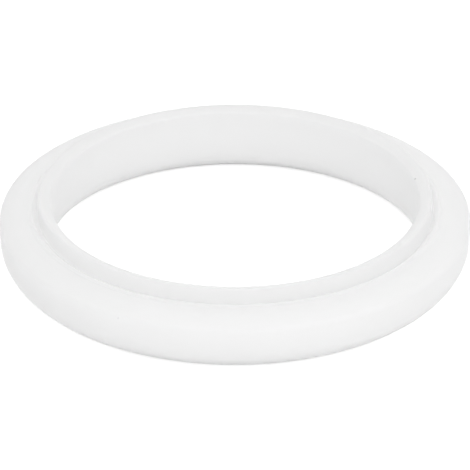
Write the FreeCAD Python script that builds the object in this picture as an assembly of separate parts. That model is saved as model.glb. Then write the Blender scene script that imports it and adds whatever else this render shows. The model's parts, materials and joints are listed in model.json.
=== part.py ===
"""Espresso group head gasket: one moulded ring of silicone rubber.

The ring is one outline turned about the Z axis. The outline lies in the plane of radius and
height, with the underside at height 0 and the lip upwards. Heights and widths are given to the
sharp corners of the outline, and every corner is then rounded. All lengths are millimetres.
"""

import FreeCAD
import Part
import math
import os

# Ring
BORE_RADIUS = 25.0          # wall of the bore
SECTION_WIDTH = 7.0         # bore wall to outer wall

# Lip beside the bore
LIP_HEIGHT = 10.15          # underside to the top corner of the lip
LIP_WIDTH = 1.75            # bore wall to the outer side of the lip
LIP_BEVEL_DROP = 0.85       # how far the top of the lip falls towards the bore
LIP_RIM_ROUND = 0.4         # between the bore wall and the top of the lip
LIP_CREST_ROUND = 0.35      # between the top and the outer side of the lip

# Groove behind the lip
GROOVE_WIDTH = 0.3          # width of the groove floor
GROOVE_SLOPE = 0.45         # width over which the outer side of the groove rises to the bead
GROOVE_DEPTH = 0.8          # top of the bead to the groove floor
GROOVE_ROUND = 0.2          # both corners of the groove floor

# Bead along the groove
BEAD_WIDTH = 0.4            # width of the bead's top
BEAD_RISE = 0.22            # top of the bead above the land
BEAD_FLANK = 0.6            # width over which the bead falls to the land
BEAD_ROUND = 0.2            # both edges of the bead's top
BEAD_FOOT_ROUND = 0.6       # between the bead and the land

# Land and shoulder
LAND_HEIGHT = 7.83          # underside to the land
SHOULDER_WIDTH = 1.35       # radial width of the sloping shoulder
SHOULDER_DROP = 1.12        # how far the shoulder falls to the outer wall
CROWN_ROUND = 4.0           # between the land and the shoulder
SHOULDER_ROUND = 0.5        # between the shoulder and the outer wall

# Nose at the underside, round from wall to wall
NOSE_OUTER_ROUND = 4.0      # on the side of the outer wall, the rest is the bore side


def setback(before, corner, after, rounding):
    """Return how far from its corner a rounding starts."""
    half_angle = (before - corner).getAngle(after - corner) / 2
    return rounding / math.tan(half_angle)


def fitted_roundings(points, roundings):
    """Return the roundings, each cut down where two of them would meet on a short run."""
    count = len(points)
    setbacks = [
        setback(points[i - 1], points[i], points[(i + 1) % count], roundings[i])
        for i in range(count)
    ]
    shares = [1.0] * count
    for i in range(count):
        following = (i + 1) % count
        run = points[i].distanceToPoint(points[following])
        share = min(1.0, run / (setbacks[i] + setbacks[following]))
        shares[i] = min(shares[i], share)
        shares[following] = min(shares[following], share)
    return [rounding * share for rounding, share in zip(roundings, shares)]


def corner_arc(before, corner, after, rounding):
    """Return the start, middle and end of the arc that rounds a corner."""
    to_before = (before - corner).normalize()
    to_after = (after - corner).normalize()
    half_angle = to_before.getAngle(to_after) / 2
    start_distance = setback(before, corner, after, rounding)
    middle_distance = rounding / math.sin(half_angle) - rounding
    inwards = (to_before + to_after).normalize()
    return (
        corner + to_before * start_distance,
        corner + inwards * middle_distance,
        corner + to_after * start_distance,
    )


def rounded_outline(corners):
    """Join corners given as radius, height and rounding into a closed wire of runs and arcs."""
    points = [FreeCAD.Vector(radius, 0, height) for radius, height, _ in corners]
    roundings = fitted_roundings(points, [rounding for _, _, rounding in corners])
    count = len(points)
    arcs = [
        corner_arc(points[i - 1], points[i], points[(i + 1) % count], roundings[i])
        for i in range(count)
    ]
    edges = []
    for i, (start, middle, end) in enumerate(arcs):
        edges.append(Part.Arc(start, middle, end).toShape())
        next_start = arcs[(i + 1) % count][0]
        if not end.isEqual(next_start, Part.Precision.confusion()):
            edges.append(Part.LineSegment(end, next_start).toShape())
    return Part.Wire(edges)


def gasket_outline():
    """Return the section of the ring, from the foot of the bore wall round to its rim."""
    outer_radius = BORE_RADIUS + SECTION_WIDTH
    lip_side = BORE_RADIUS + LIP_WIDTH
    floor_end = lip_side + GROOVE_WIDTH
    bead_start = floor_end + GROOVE_SLOPE
    bead_end = bead_start + BEAD_WIDTH
    bead_top = LAND_HEIGHT + BEAD_RISE
    groove_floor = bead_top - GROOVE_DEPTH
    return rounded_outline([
        (BORE_RADIUS, 0, SECTION_WIDTH - NOSE_OUTER_ROUND),
        (outer_radius, 0, NOSE_OUTER_ROUND),
        (outer_radius, LAND_HEIGHT - SHOULDER_DROP, SHOULDER_ROUND),
        (outer_radius - SHOULDER_WIDTH, LAND_HEIGHT, CROWN_ROUND),
        (bead_end + BEAD_FLANK, LAND_HEIGHT, BEAD_FOOT_ROUND),
        (bead_end, bead_top, BEAD_ROUND),
        (bead_start, bead_top, BEAD_ROUND),
        (floor_end, groove_floor, GROOVE_ROUND),
        (lip_side, groove_floor, GROOVE_ROUND),
        (lip_side, LIP_HEIGHT, LIP_CREST_ROUND),
        (BORE_RADIUS, LIP_HEIGHT - LIP_BEVEL_DROP, LIP_RIM_ROUND),
    ])


def gasket_ring():
    """Turn the section once about the axis into the one solid of the gasket."""
    section = Part.Face(gasket_outline())
    return section.revolve(FreeCAD.Vector(0, 0, 0), FreeCAD.Vector(0, 0, 1), 360)


os.makedirs("parts", exist_ok=True)
gasket_ring().exportStep("parts/gasket_ring.step")
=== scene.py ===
"""Scene of an espresso group head gasket: one milky silicone ring on a pale studio floor.

The ring's section is drawn beside the axis as a chain of corners, the corners are rounded, and
the section is spun once round the axis. Lengths are metres and angles are degrees. The axis of
the ring is Z, with the rounded nose on the floor and the lip upwards.
"""

import json
import logging
import math
from collections.abc import Callable
from dataclasses import dataclass, field
from enum import Enum

import bmesh
import bpy
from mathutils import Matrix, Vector


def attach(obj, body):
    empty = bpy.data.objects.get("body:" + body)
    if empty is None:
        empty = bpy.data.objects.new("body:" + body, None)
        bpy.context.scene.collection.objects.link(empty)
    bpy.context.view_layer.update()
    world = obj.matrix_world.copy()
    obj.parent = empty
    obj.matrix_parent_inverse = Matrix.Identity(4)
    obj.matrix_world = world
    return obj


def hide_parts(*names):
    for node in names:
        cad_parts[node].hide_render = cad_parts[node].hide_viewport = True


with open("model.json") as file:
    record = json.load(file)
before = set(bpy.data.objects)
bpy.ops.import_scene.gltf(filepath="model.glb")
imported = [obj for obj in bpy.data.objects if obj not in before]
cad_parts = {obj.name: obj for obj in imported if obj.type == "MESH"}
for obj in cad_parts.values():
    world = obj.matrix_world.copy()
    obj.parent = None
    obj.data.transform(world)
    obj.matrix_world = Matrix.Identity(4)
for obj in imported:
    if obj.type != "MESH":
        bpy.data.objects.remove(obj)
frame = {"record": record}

MM = 0.001
SAME_PLACE = 0.001 * MM
MERGE_DISTANCE = 0.002 * MM
RING_NODE = "gasket_ring"
BODY = "root"

log = logging.getLogger("gasket")

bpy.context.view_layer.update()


def mount_radius(name: str) -> float:
    """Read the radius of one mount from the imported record.

    Args:
        name: The mount's name in the record.

    Returns:
        The radius in metres.
    """
    mounts = {mount["name"]: mount for mount in frame["record"]["mounts"]}
    return mounts[name]["dims"]["r_mm"] * MM


def grey(level: float) -> tuple[float, float, float, float]:
    """Make a colour without a hue.

    Args:
        level: How light it is, from 0 for black to 1 for white.

    Returns:
        The colour, as a colour socket takes it.
    """
    return (level, level, level, 1.0)


def combine(
    tree: bpy.types.NodeTree,
    operation: str,
    first: bpy.types.NodeSocket,
    second: bpy.types.NodeSocket | float,
) -> bpy.types.NodeSocket:
    """Join two values of a node tree by one operation.

    Args:
        tree: The tree that gets the node.
        operation: The operation, as a Math node names it.
        first: The socket that carries the first value.
        second: The socket that carries the second value, or a plain number.

    Returns:
        The socket that carries the result.
    """
    node = tree.nodes.new("ShaderNodeMath")
    node.operation = operation
    tree.links.new(first, node.inputs[0])
    if isinstance(second, bpy.types.NodeSocket):
        tree.links.new(second, node.inputs[1])
    else:
        node.inputs[1].default_value = second
    return node.outputs["Value"]


class EditSession:
    """Edit mode on one object, with selection by place."""

    def __init__(self, piece: bpy.types.Object) -> None:
        """Remember the object.

        Args:
            piece: The object to edit.
        """
        self.piece = piece

    def __enter__(self) -> "EditSession":
        """Make the object active and enter edit mode.

        Returns:
            The session itself.
        """
        bpy.context.view_layer.objects.active = self.piece
        bpy.ops.object.mode_set(mode="EDIT")
        bpy.ops.mesh.select_mode(type="VERT")
        return self

    def __exit__(self, *details: object) -> None:
        """Return to object mode.

        Args:
            details: What went wrong inside the session, if anything did.
        """
        bpy.ops.object.mode_set(mode="OBJECT")

    def select(self, wanted: Callable[[Vector], bool]) -> None:
        """Select the vertices whose place passes a test, and nothing else.

        Args:
            wanted: Returns True for the place of a vertex to select.
        """
        bpy.ops.mesh.select_all(action="DESELECT")
        mesh = bmesh.from_edit_mesh(self.piece.data)
        for vertex in mesh.verts:
            vertex.select = wanted(vertex.co)
        mesh.select_flush(True)
        bmesh.update_edit_mesh(self.piece.data)

    def select_near(self, *places: Vector) -> None:
        """Select the vertices that lie at one of the given places.

        Args:
            places: The places to look at.
        """
        self.select(lambda co: any((co - place).length < SAME_PLACE for place in places))

    def select_all(self) -> None:
        """Select the whole mesh."""
        bpy.ops.mesh.select_all(action="SELECT")


@dataclass(frozen=True)
class Corner:
    """One sharp corner of the ring's section and how it is rounded."""

    radius: float
    height: float
    rounding: float
    steps: int

    def place(self) -> Vector:
        """Work out where the corner lies.

        Returns:
            The corner's place in the plane of radius and height.
        """
        return Vector((self.radius, 0, self.height))

    def setback(self, before: "Corner", after: "Corner") -> float:
        """Work out how far from the corner its rounding starts.

        Args:
            before: The corner before this one on the section.
            after: The corner after this one.

        Returns:
            The distance along each run, in metres.
        """
        to_before = before.place() - self.place()
        to_after = after.place() - self.place()
        return self.rounding / math.tan(to_before.angle(to_after) / 2)


@dataclass(frozen=True)
class Speck:
    """One tiny dark speck in the rubber."""

    centre: tuple[float, float, float]
    radius: float


@dataclass(frozen=True)
class SiliconeFinish:
    """Milky, slightly translucent silicone rubber with a satin moulded skin."""

    pale: float = 0.99
    deep: float = 0.98
    cloud_size: float = 18 * MM
    cloud_detail: float = 2.0
    refraction: float = 1.41
    gloss: float = 0.25
    roughness_low: float = 0.5
    roughness_high: float = 0.62
    scatter_depth: float = 7.0 * MM
    skin_size: float = 0.5 * MM
    skin_detail: float = 3.0
    skin_height: float = 0.004 * MM
    speck_grey: float = 0.5
    speck_core: float = 0.5
    specks: tuple[Speck, ...] = (
        Speck((24.68 * MM, 4.8 * MM, 9.32 * MM), 0.17 * MM),
        Speck((-15.04 * MM, -28.23 * MM, 6.44 * MM), 0.08 * MM),
        Speck((-3.1 * MM, 31.85 * MM, 5.6 * MM), 0.12 * MM),
    )

    def material(self) -> bpy.types.Material:
        """Build the node material.

        Returns:
            The material, ready to go on the ring.
        """
        made = bpy.data.materials.new("milky_silicone")
        made.use_nodes = True
        tree = made.node_tree
        shader = tree.nodes["Principled BSDF"]
        shader.inputs["IOR"].default_value = self.refraction
        shader.inputs["Specular IOR Level"].default_value = self.gloss
        shader.inputs["Subsurface Weight"].default_value = 1.0
        shader.inputs["Subsurface Radius"].default_value = (1.0, 1.0, 1.0)
        shader.inputs["Subsurface Scale"].default_value = self.scatter_depth
        place = tree.nodes.new("ShaderNodeTexCoord").outputs["Object"]
        tree.links.new(self.body_colour(tree, place), shader.inputs["Base Color"])
        self.add_skin(tree, place, shader)
        return made

    def body_colour(
        self, tree: bpy.types.NodeTree, place: bpy.types.NodeSocket
    ) -> bpy.types.NodeSocket:
        """Colour the rubber: faintly clouded white, darker in the specks.

        Args:
            tree: The node tree of the silicone.
            place: The place on the ring.

        Returns:
            The socket that carries the colour.
        """
        body = tree.nodes.new("ShaderNodeMix")
        body.data_type = "RGBA"
        body.inputs["A"].default_value = grey(self.deep)
        body.inputs["B"].default_value = grey(self.pale)
        cloud = self.noise(tree, place, self.cloud_size, self.cloud_detail)
        tree.links.new(cloud, body.inputs["Factor"])
        tint = tree.nodes.new("ShaderNodeMix")
        tint.data_type = "RGBA"
        tint.inputs["B"].default_value = grey(self.speck_grey)
        tree.links.new(self.speck_mask(tree, place), tint.inputs["Factor"])
        tree.links.new(body.outputs["Result"], tint.inputs["A"])
        return tint.outputs["Result"]

    def speck_mask(
        self, tree: bpy.types.NodeTree, place: bpy.types.NodeSocket
    ) -> bpy.types.NodeSocket:
        """Mark the tiny dark specks in the rubber.

        Args:
            tree: The node tree of the silicone.
            place: The place on the ring.

        Returns:
            The socket that is 1 in a speck and 0 elsewhere.
        """
        dots = []
        for speck in self.specks:
            away = tree.nodes.new("ShaderNodeVectorMath")
            away.operation = "DISTANCE"
            away.inputs[1].default_value = speck.centre
            tree.links.new(place, away.inputs[0])
            dot = tree.nodes.new("ShaderNodeMapRange")
            dot.inputs["From Min"].default_value = speck.radius
            dot.inputs["From Max"].default_value = self.speck_core * speck.radius
            tree.links.new(away.outputs["Value"], dot.inputs["Value"])
            dots.append(dot.outputs["Result"])
        mask = dots[0]
        for dot in dots[1:]:
            mask = combine(tree, "MAXIMUM", mask, dot)
        return mask

    def add_skin(
        self,
        tree: bpy.types.NodeTree,
        place: bpy.types.NodeSocket,
        shader: bpy.types.ShaderNode,
    ) -> None:
        """Give the surface a fine grain in its shine and its relief.

        Args:
            tree: The node tree of the silicone.
            place: The place on the ring.
            shader: The shader that gets the grain.
        """
        grain = self.noise(tree, place, self.skin_size, self.skin_detail)
        satin = tree.nodes.new("ShaderNodeMapRange")
        satin.inputs["To Min"].default_value = self.roughness_low
        satin.inputs["To Max"].default_value = self.roughness_high
        tree.links.new(grain, satin.inputs["Value"])
        tree.links.new(satin.outputs["Result"], shader.inputs["Roughness"])
        bump = tree.nodes.new("ShaderNodeBump")
        bump.inputs["Distance"].default_value = self.skin_height
        tree.links.new(grain, bump.inputs["Height"])
        tree.links.new(bump.outputs["Normal"], shader.inputs["Normal"])

    @staticmethod
    def noise(
        tree: bpy.types.NodeTree, place: bpy.types.NodeSocket, size: float, detail: float
    ) -> bpy.types.NodeSocket:
        """Add an uneven pattern.

        Args:
            tree: The node tree of the silicone.
            place: The place on the ring.
            size: The size of the pattern's largest forms, in metres.
            detail: How many finer layers the pattern has.

        Returns:
            The socket that carries the pattern.
        """
        pattern = tree.nodes.new("ShaderNodeTexNoise")
        pattern.inputs["Scale"].default_value = 1 / size
        pattern.inputs["Detail"].default_value = detail
        tree.links.new(place, pattern.inputs["Vector"])
        return pattern.outputs["Fac"]


@dataclass
class GasketRing:
    """The moulded ring: lip beside the bore, groove, bead, land, shoulder and round nose."""

    bore_radius: float = mount_radius("bore")
    outer_radius: float = mount_radius("outer_wall")
    lip_height: float = 10.13 * MM
    lip_width: float = 1.75 * MM
    lip_bevel_drop: float = 0.85 * MM
    lip_rim_round: float = 0.4 * MM
    lip_crest_round: float = 0.35 * MM
    groove_width: float = 0.3 * MM
    groove_slope: float = 0.45 * MM
    groove_depth: float = 0.8 * MM
    groove_round: float = 0.18 * MM
    bead_width: float = 0.35 * MM
    bead_rise: float = 0.24 * MM
    bead_flank: float = 0.28 * MM
    bead_inner_round: float = 0.15 * MM
    bead_outer_round: float = 0.2 * MM
    bead_foot_round: float = 0.25 * MM
    land_height: float = 7.83 * MM
    shoulder_width: float = 1.35 * MM
    shoulder_drop: float = 1.12 * MM
    crown_round: float = 3.65 * MM
    shoulder_round: float = 0.9 * MM
    nose_inner_round: float = 3.0 * MM
    nose_outer_round: float = 4.0 * MM
    steps_round: int = 512
    finish: SiliconeFinish = field(default_factory=SiliconeFinish)

    def corners(self) -> list[Corner]:
        """List the sharp corners of the section.

        Returns:
            The corners, from the foot of the bore wall round to its rim.
        """
        lip_side = self.bore_radius + self.lip_width
        floor_end = lip_side + self.groove_width
        bead_start = floor_end + self.groove_slope
        bead_end = bead_start + self.bead_width
        bead_foot = bead_end + self.bead_flank
        crown = self.outer_radius - self.shoulder_width
        bead_top = self.land_height + self.bead_rise
        groove_floor = bead_top - self.groove_depth
        shoulder = self.land_height - self.shoulder_drop
        rim = self.lip_height - self.lip_bevel_drop
        return [
            Corner(self.bore_radius, 0, self.nose_inner_round, steps=14),
            Corner(self.outer_radius, 0, self.nose_outer_round, steps=18),
            Corner(self.outer_radius, shoulder, self.shoulder_round, steps=6),
            Corner(crown, self.land_height, self.crown_round, steps=10),
            Corner(bead_foot, self.land_height, self.bead_foot_round, steps=3),
            Corner(bead_end, bead_top, self.bead_outer_round, steps=4),
            Corner(bead_start, bead_top, self.bead_inner_round, steps=4),
            Corner(floor_end, groove_floor, self.groove_round, steps=3),
            Corner(lip_side, groove_floor, self.groove_round, steps=4),
            Corner(lip_side, self.lip_height, self.lip_crest_round, steps=6),
            Corner(self.bore_radius, rim, self.lip_rim_round, steps=6),
        ]

    def draw_section(self, piece: bpy.types.Object) -> None:
        """Draw the closed section by extruding from corner to corner, then round it.

        Args:
            piece: A small plane that lies at the first corner.
        """
        corners = self.corners()
        with EditSession(piece) as edit:
            edit.select_all()
            bpy.ops.mesh.merge(type="CENTER")
            for corner, following in zip(corners, corners[1:]):
                run = following.place() - corner.place()
                bpy.ops.mesh.extrude_vertices_move(TRANSFORM_OT_translate={"value": run})
            edit.select_near(corners[0].place(), corners[-1].place())
            bpy.ops.mesh.edge_face_add()
            for index, corner in enumerate(corners):
                after = corners[(index + 1) % len(corners)]
                edit.select_near(corner.place())
                bpy.ops.mesh.bevel(
                    affect="VERTICES",
                    offset_type="OFFSET",
                    offset=corner.setback(corners[index - 1], after),
                    segments=corner.steps,
                    profile=0.5,
                    clamp_overlap=False,
                )

    def build(self) -> bpy.types.Object:
        """Model the ring.

        Returns:
            The ring, at the origin with its place in its mesh.
        """
        bpy.ops.object.select_all(action="DESELECT")
        bpy.ops.mesh.primitive_plane_add(size=MM, location=self.corners()[0].place())
        piece = bpy.context.object
        piece.name = piece.data.name = "silicone_ring"
        bpy.ops.object.transform_apply(location=True, rotation=True, scale=True)
        self.draw_section(piece)
        with EditSession(piece) as edit:
            edit.select_all()
            bpy.ops.mesh.remove_doubles(threshold=MERGE_DISTANCE)
            bpy.ops.mesh.spin(
                steps=self.steps_round, angle=math.tau, center=(0, 0, 0), axis=(0, 0, 1)
            )
            edit.select_all()
            bpy.ops.mesh.remove_doubles(threshold=MERGE_DISTANCE)
            bpy.ops.mesh.normals_make_consistent(inside=False)
        bpy.ops.object.shade_smooth()
        return piece

    def dress(self, piece: bpy.types.Object) -> None:
        """Put the finish on the ring and say what it stands for.

        Args:
            piece: The ring from build.
        """
        piece.data.materials.clear()
        piece.data.materials.append(self.finish.material())
        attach(piece, BODY)
        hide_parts(RING_NODE)


class LampRole(Enum):
    """Where a lamp stands, as the camera sees the ring."""

    FRONT = "front"
    FRONT_LOW = "front_low"
    FRONT_RIGHT = "front_right"
    RIGHT = "right"
    BACK_RIGHT = "back_right"
    BACK = "back"
    BACK_LEFT = "back_left"
    LEFT = "left"
    TOP = "top"


@dataclass(frozen=True)
class Lamp:
    """One square soft box that looks at the middle of the ring.

    Azimuth 0 is where the camera stands and azimuth 90 is at its right hand.
    """

    role: LampRole
    azimuth: float
    elevation: float
    power: float
    distance: float = 0.7
    size: float = 0.4

    def build(self) -> None:
        """Add the lamp to the scene."""
        turn, rise = math.radians(self.azimuth), math.radians(self.elevation)
        back = Vector(
            (math.sin(turn) * math.cos(rise), -math.cos(turn) * math.cos(rise), math.sin(rise))
        )
        bpy.ops.object.light_add(type="AREA", location=back * self.distance)
        lamp = bpy.context.object
        lamp.name = f"lamp_{self.role.value}"
        lamp.rotation_euler = back.to_track_quat("Z", "Y").to_euler()
        lamp.data.shape = "SQUARE"
        lamp.data.size = self.size
        lamp.data.energy = self.power


@dataclass
class Studio:
    """Pale floor, soft boxes, even surroundings and the camera."""

    floor_side: float = 6.0
    floor_grey: float = 1.0
    floor_roughness: float = 0.9
    floor_lift: float = 0.45
    surroundings: float = 0.53
    eye_distance: float = 0.448
    eye_elevation: float = 28.3
    eye_drop: float = 0.348
    eye_height: float = 6.3 * MM
    eye_nearest: float = 10 * MM
    lens: float = 252.0
    lamps: tuple[Lamp, ...] = (
        Lamp(LampRole.FRONT, 0, 35, 0.88),
        Lamp(LampRole.FRONT_LOW, 0, 15, 0.23),
        Lamp(LampRole.FRONT_RIGHT, 60, 15, 0.17),
        Lamp(LampRole.RIGHT, 90, 15, 0.26),
        Lamp(LampRole.BACK_RIGHT, 130, 35, 0.18),
        Lamp(LampRole.BACK, 180, 15, 0.31),
        Lamp(LampRole.BACK_LEFT, 230, 35, 0.19),
        Lamp(LampRole.LEFT, 270, 15, 0.14),
        Lamp(LampRole.TOP, 0, 89.9, 0.88),
    )

    def build(self) -> None:
        """Build the floor, the lamps, the world and the camera."""
        self.add_floor()
        for lamp in self.lamps:
            lamp.build()
        self.add_world()
        self.add_camera()
        bpy.context.scene.view_settings.view_transform = "Standard"

    def add_floor(self) -> None:
        """Lay the pale floor under the ring."""
        bpy.ops.mesh.primitive_plane_add(size=self.floor_side, location=(0, 0, 0))
        floor = bpy.context.object
        floor.name = "floor"
        made = bpy.data.materials.new("pale_floor")
        made.use_nodes = True
        tree = made.node_tree
        shader = tree.nodes["Principled BSDF"]
        shader.inputs["Base Color"].default_value = grey(self.floor_grey)
        shader.inputs["Roughness"].default_value = self.floor_roughness
        shader.inputs["Specular IOR Level"].default_value = 0.0
        glow = tree.nodes.new("ShaderNodeEmission")
        tree.links.new(self.seen(tree, self.floor_lift), glow.inputs["Strength"])
        both = tree.nodes.new("ShaderNodeAddShader")
        tree.links.new(shader.outputs["BSDF"], both.inputs[0])
        tree.links.new(glow.outputs["Emission"], both.inputs[1])
        tree.links.new(both.outputs["Shader"], tree.nodes["Material Output"].inputs["Surface"])
        floor.data.materials.append(made)

    @staticmethod
    def seen(tree: bpy.types.NodeTree, strength: float) -> bpy.types.NodeSocket:
        """Give a value only to rays that come from the eye or from a shiny or clear surface.

        Args:
            tree: The node tree that gets it.
            strength: The value for those rays. Other rays get 0.

        Returns:
            The socket that carries the value.
        """
        path = tree.nodes.new("ShaderNodeLightPath").outputs
        eye_or_shiny = combine(tree, "MAXIMUM", path["Is Camera Ray"], path["Is Glossy Ray"])
        any_of_them = combine(tree, "MAXIMUM", eye_or_shiny, path["Is Transmission Ray"])
        return combine(tree, "MULTIPLY", any_of_them, strength)

    def add_world(self) -> None:
        """Surround the ring with even light, and show it as white to the eye."""
        world = bpy.data.worlds.new("studio")
        bpy.context.scene.world = world
        world.use_nodes = True
        tree = world.node_tree
        shader = tree.nodes["Background"]
        shader.inputs["Color"].default_value = grey(1.0)
        lift = self.seen(tree, 1 - self.surroundings)
        strength = combine(tree, "ADD", lift, self.surroundings)
        tree.links.new(strength, shader.inputs["Strength"])

    def add_camera(self) -> None:
        """Place the camera at the photograph's viewing angle."""
        rise = math.radians(self.eye_elevation)
        place = Vector((0, -math.cos(rise), math.sin(rise))) * self.eye_distance
        place.z += self.eye_height
        bpy.ops.object.camera_add(
            location=place,
            rotation=(math.radians(90 - self.eye_elevation - self.eye_drop), 0, 0),
        )
        camera = bpy.context.object
        camera.data.lens = self.lens
        camera.data.clip_start = self.eye_nearest
        bpy.context.scene.camera = camera


def main() -> None:
    """Build the ring and the studio."""
    logging.basicConfig(level=logging.INFO, format="%(name)s: %(message)s")
    ring = GasketRing()
    piece = ring.build()
    ring.dress(piece)
    log.info("%s: %d faces", piece.name, len(piece.data.polygons))
    Studio().build()
    log.info("studio: floor, lamps, surroundings and camera")


if __name__ == "__main__":
    main()
